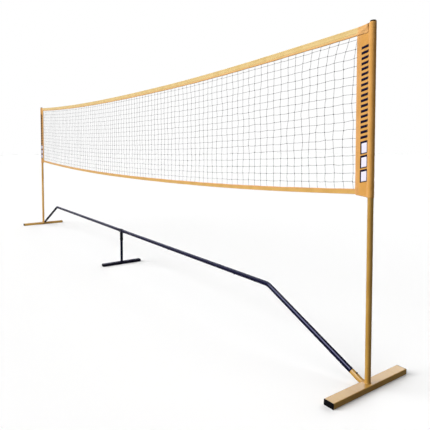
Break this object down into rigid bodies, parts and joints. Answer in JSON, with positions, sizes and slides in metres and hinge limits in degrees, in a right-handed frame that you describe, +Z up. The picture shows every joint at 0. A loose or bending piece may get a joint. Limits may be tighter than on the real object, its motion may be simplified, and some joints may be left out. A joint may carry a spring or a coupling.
{
  "type": "portable badminton net",
  "caption": "Free-standing badminton net: sleeved mesh net on two plug-in posts with bar feet, joined by a raised bent tube spine with a centre support.",
  "frame": {"origin": "on the floor, under the middle of the net, halfway between the posts and halfway along the foot bars", "axes": "+X along the net towards the right post, +Y across the net, +Z up"},
  "size_m": [5.23, 0.5, 1.568],
  "materials": {
    "gold_steel": "satin gold powder coat",
    "navy_steel": "satin navy powder coat",
    "navy_plastic": "moulded, fine texture",
    "black_plastic": "moulded, fine texture",
    "button_steel": "dark nickel plating, polished top",
    "spring_steel": "bare spring steel",
    "net_string": "braided, matt",
    "tape_cloth": "woven polyester, stitched",
    "sleeve_cloth": "woven polyester, stitched, printed stripes",
    "cord_fibre": "braided cord"
  },
  "bodies": {
    "base": {"foot_bar_left": "gold_steel", "foot_bar_right": "gold_steel", "foot_plug_left_front": "black_plastic", "foot_plug_left_back": "black_plastic", "foot_plug_right_front": "black_plastic", "foot_plug_right_back": "black_plastic", "post_stub_left": "gold_steel", "post_stub_right": "gold_steel", "spine_stub_left": "gold_steel", "spine_stub_right": "gold_steel", "bent_tube_left": "navy_steel", "bent_tube_right": "navy_steel", "outer_tube_left": "navy_steel", "outer_tube_right": "navy_steel", "inner_tube_left": "navy_steel", "inner_tube_right": "navy_steel", "tee": "navy_plastic", "foot_spring_left": "spring_steel", "foot_spring_right": "spring_steel", "bend_spring_left": "spring_steel", "bend_spring_right": "spring_steel", "mid_spring_left": "spring_steel", "mid_spring_right": "spring_steel", "tee_spring_left": "spring_steel", "tee_spring_right": "spring_steel"},
    "centre_support": {"centre_leg": "navy_steel", "centre_foot": "navy_steel", "centre_cap_front": "black_plastic", "centre_cap_back": "black_plastic"},
    "net": {"net_mesh": "net_string", "top_tape": "tape_cloth", "bottom_tape": "tape_cloth", "head_cord": "cord_fibre", "foot_cord": "cord_fibre", "sleeve_left": "sleeve_cloth", "sleeve_right": "sleeve_cloth"},
    "post_left": {"lower_post_left": "gold_steel"},
    "upper_post_left": {"upper_post_left": "gold_steel", "post_cap_left": "black_plastic"},
    "post_right": {"lower_post_right": "gold_steel"},
    "upper_post_right": {"upper_post_right": "gold_steel", "post_cap_right": "black_plastic"},
    "foot_button_left": {"foot_button_left": "button_steel"},
    "bend_button_left": {"bend_button_left": "button_steel"},
    "mid_button_left": {"mid_button_left": "button_steel"},
    "tee_button_left": {"tee_button_left": "button_steel"},
    "foot_button_right": {"foot_button_right": "button_steel"},
    "bend_button_right": {"bend_button_right": "button_steel"},
    "mid_button_right": {"mid_button_right": "button_steel"},
    "tee_button_right": {"tee_button_right": "button_steel"}
  },
  "joints": [
    {"name": "post_left_lift", "type": "slide", "parent": "base", "child": "post_left", "axis": [0, 0, 1], "range_m": [0, 0.06]},
    {"name": "upper_post_left_lift", "type": "slide", "parent": "post_left", "child": "upper_post_left", "axis": [0, 0, 1], "range_m": [0, 0.06]},
    {"name": "post_right_lift", "type": "slide", "parent": "base", "child": "post_right", "axis": [0, 0, 1], "range_m": [0, 0.06]},
    {"name": "upper_post_right_lift", "type": "slide", "parent": "post_right", "child": "upper_post_right", "axis": [0, 0, 1], "range_m": [0, 0.06]},
    {"name": "net_slide", "type": "slide", "parent": "base", "child": "net", "axis": [0, 0, 1], "range_m": [-0.45, 0.75]},
    {"name": "centre_support_swivel", "type": "hinge", "parent": "base", "child": "centre_support", "pos_m": [0, 0, 0.2], "axis": [0, 0, 1], "range_deg": [-90, 90]},
    {"name": "foot_button_left_press", "type": "slide", "parent": "base", "child": "foot_button_left", "axis": [0.4147, 0, -0.91], "range_m": [0, 0.0059], "stiffness_N_per_m": 1200, "springref_m": -0.002, "deforming": ["foot_spring_left"]},
    {"name": "bend_button_left_press", "type": "slide", "parent": "base", "child": "bend_button_left", "axis": [0, 0, 1], "range_m": [0, 0.0059], "stiffness_N_per_m": 1200, "springref_m": -0.002, "deforming": ["bend_spring_left"]},
    {"name": "mid_button_left_press", "type": "slide", "parent": "base", "child": "mid_button_left", "axis": [0, 0, 1], "range_m": [0, 0.0059], "stiffness_N_per_m": 1200, "springref_m": -0.002, "deforming": ["mid_spring_left"]},
    {"name": "tee_button_left_press", "type": "slide", "parent": "base", "child": "tee_button_left", "axis": [0, 0, 1], "range_m": [0, 0.0059], "stiffness_N_per_m": 1200, "springref_m": -0.002, "deforming": ["tee_spring_left"]},
    {"name": "foot_button_right_press", "type": "slide", "parent": "base", "child": "foot_button_right", "axis": [-0.4147, 0, -0.91], "range_m": [0, 0.0059], "stiffness_N_per_m": 1200, "springref_m": -0.002, "deforming": ["foot_spring_right"]},
    {"name": "bend_button_right_press", "type": "slide", "parent": "base", "child": "bend_button_right", "axis": [0, 0, 1], "range_m": [0, 0.0059], "stiffness_N_per_m": 1200, "springref_m": -0.002, "deforming": ["bend_spring_right"]},
    {"name": "mid_button_right_press", "type": "slide", "parent": "base", "child": "mid_button_right", "axis": [0, 0, 1], "range_m": [0, 0.0059], "stiffness_N_per_m": 1200, "springref_m": -0.002, "deforming": ["mid_spring_right"]},
    {"name": "tee_button_right_press", "type": "slide", "parent": "base", "child": "tee_button_right", "axis": [0, 0, 1], "range_m": [0, 0.0059], "stiffness_N_per_m": 1200, "springref_m": -0.002, "deforming": ["tee_spring_right"]}
  ]
}
